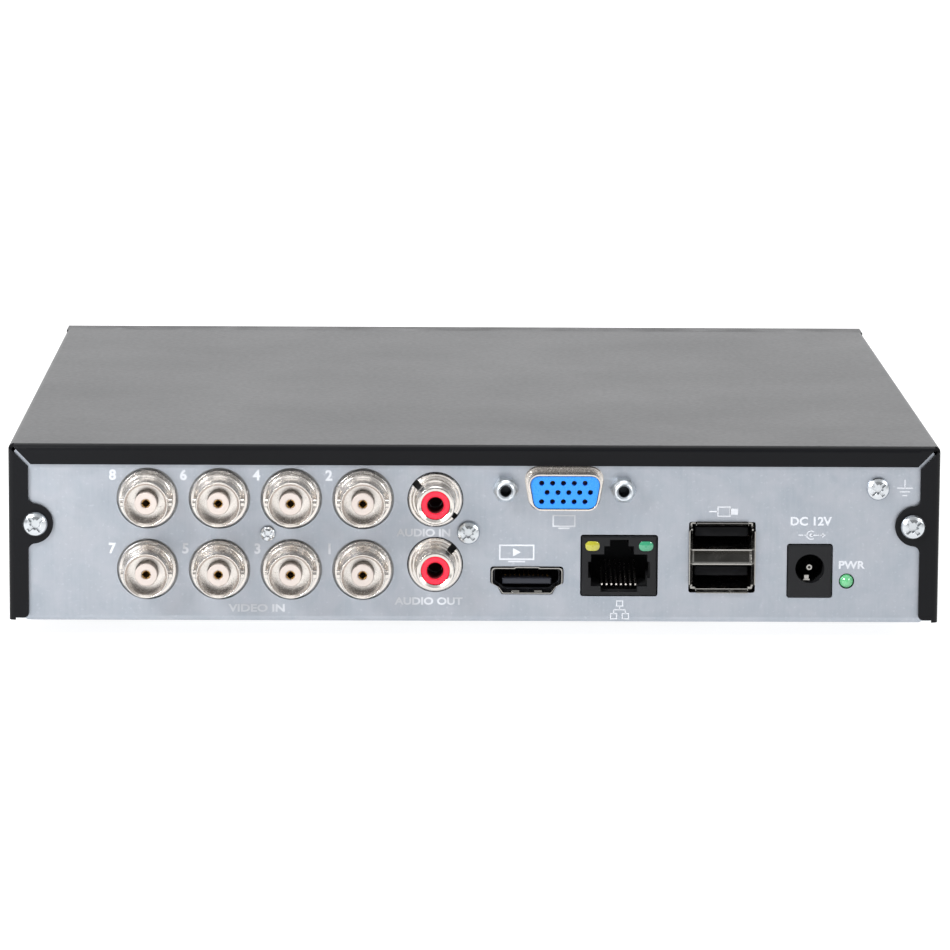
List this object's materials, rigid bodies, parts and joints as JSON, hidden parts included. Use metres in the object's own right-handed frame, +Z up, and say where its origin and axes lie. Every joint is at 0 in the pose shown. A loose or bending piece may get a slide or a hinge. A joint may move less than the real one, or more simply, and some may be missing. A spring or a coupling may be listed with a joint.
{
  "type": "video recorder",
  "caption": "Compact surveillance video recorder: steel case with a slide-off cover, a rear row of coaxial, audio, display, network, data and power sockets, and a disk drive.",
  "frame": {"origin": "bottom centre of the whole unit, feet and sockets included", "axes": "+Z up, +Y towards the rear sockets, front bezel towards -Y"},
  "size_m": [0.1976, 0.21, 0.0421],
  "materials": {
    "zinc_plate": "galvanised sheet, faint spangle",
    "black_powder_coat": "satin black powder coat with a fine texture",
    "zinc_screw": "bright zinc plating",
    "black_moulding": "fine spark-eroded texture",
    "smoked_window": "polished",
    "black_rubber": "matt",
    "nickel_plate": "turned and nickel plated",
    "white_insulator": "smooth",
    "gold_plate": "gold flash",
    "grey_zinc_casting": "die cast",
    "red_insulator": "glossy",
    "tin_plate": "tin plated sheet",
    "black_connector": "smooth moulding",
    "blue_insert": "smooth moulding",
    "board_laminate": "solder resist with tracks",
    "yellow_light_pipe": "clear tinted",
    "green_light_pipe": "clear tinted",
    "green_led": "clear tinted",
    "chip_resin": "moulded epoxy",
    "black_anodised": "black anodised extrusion",
    "ferrite": "pressed ferrite",
    "capacitor_can": "drawn can",
    "cell_steel": "rolled steel",
    "white_connector": "nylon",
    "red_button": "smooth",
    "ribbon_jacket": "grey ribbed ribbon",
    "cast_aluminium": "cast, dark coated",
    "lid_steel": "brushed",
    "mirror_disk": "polished",
    "machined_aluminium": "machined",
    "nickel_magnet": "nickel plated",
    "drive_laminate": "solder resist with tracks",
    "data_jacket": "satin PVC",
    "wire_jacket": "satin PVC"
  },
  "bodies": {
    "chassis": {"chassis_tray": "zinc_plate", "front_bezel": "black_moulding", "light_guide": "smoked_window", "rubber_feet": "black_rubber", "panel_screws": "zinc_screw", "block_screw": "zinc_screw", "bnc_shells": "nickel_plate", "bnc_insulators": "white_insulator", "bnc_contacts": "gold_plate", "bnc_housings": "grey_zinc_casting", "rca_shells": "nickel_plate", "rca_insulators": "red_insulator", "rca_contacts": "tin_plate", "rca_housing": "black_connector", "vga_shell": "nickel_plate", "vga_insert": "blue_insert", "vga_contacts": "gold_plate", "vga_jack_nuts": "zinc_screw", "vga_board": "board_laminate", "hdmi_shell": "tin_plate", "hdmi_tongue": "black_connector", "hdmi_contacts": "gold_plate", "lan_housing": "black_connector", "lan_contacts": "nickel_plate", "lan_light_yellow": "yellow_light_pipe", "lan_light_green": "green_light_pipe", "usb_shell": "tin_plate", "usb_tongues": "black_connector", "usb_contacts": "gold_plate", "dc_housing": "black_connector", "dc_pin": "tin_plate", "dc_spring": "tin_plate", "status_leds": "green_led", "mainboard": "board_laminate", "board_screws": "zinc_screw", "processor": "chip_resin", "heat_sink": "black_anodised", "board_chips": "chip_resin", "inductors": "ferrite", "capacitors": "capacitor_can", "coin_cell": "cell_steel", "buzzer": "black_connector", "board_headers": "white_connector", "reset_switch": "black_connector", "indicator_board": "board_laminate", "indicator_cable": "ribbon_jacket", "drive_base": "cast_aluminium", "drive_lid": "lid_steel", "drive_lid_screws": "zinc_screw", "drive_magnets": "nickel_magnet", "drive_board": "drive_laminate", "drive_screws": "zinc_screw", "data_cable": "data_jacket", "power_cable": "wire_jacket"},
    "cover": {"top_cover": "black_powder_coat", "cover_screws": "zinc_screw"},
    "disk_stack": {"drive_platters": "mirror_disk", "drive_hub": "machined_aluminium"},
    "head_arm": {"drive_arm": "machined_aluminium"},
    "reset_key": {"reset_button": "red_button"}
  },
  "joints": [
    {"name": "cover_slide", "type": "slide", "parent": "chassis", "child": "cover", "axis": [0, 1, 0], "range_m": [0, 0.2]},
    {"name": "disk_spin", "type": "hinge", "parent": "chassis", "child": "disk_stack", "pos_m": [-0.034, -0.0332, 0.0181], "axis": [0, 0, 1], "continuous": true},
    {"name": "head_arm_swing", "type": "hinge", "parent": "chassis", "child": "head_arm", "pos_m": [0.02, -0.0252, 0.0201], "axis": [0, 0, -1], "range_deg": [0, 32]},
    {"name": "reset_press", "type": "slide", "parent": "chassis", "child": "reset_key", "axis": [0, 0, -1], "range_m": [0, 0.0003], "stiffness_N_per_m": 5000}
  ]
}
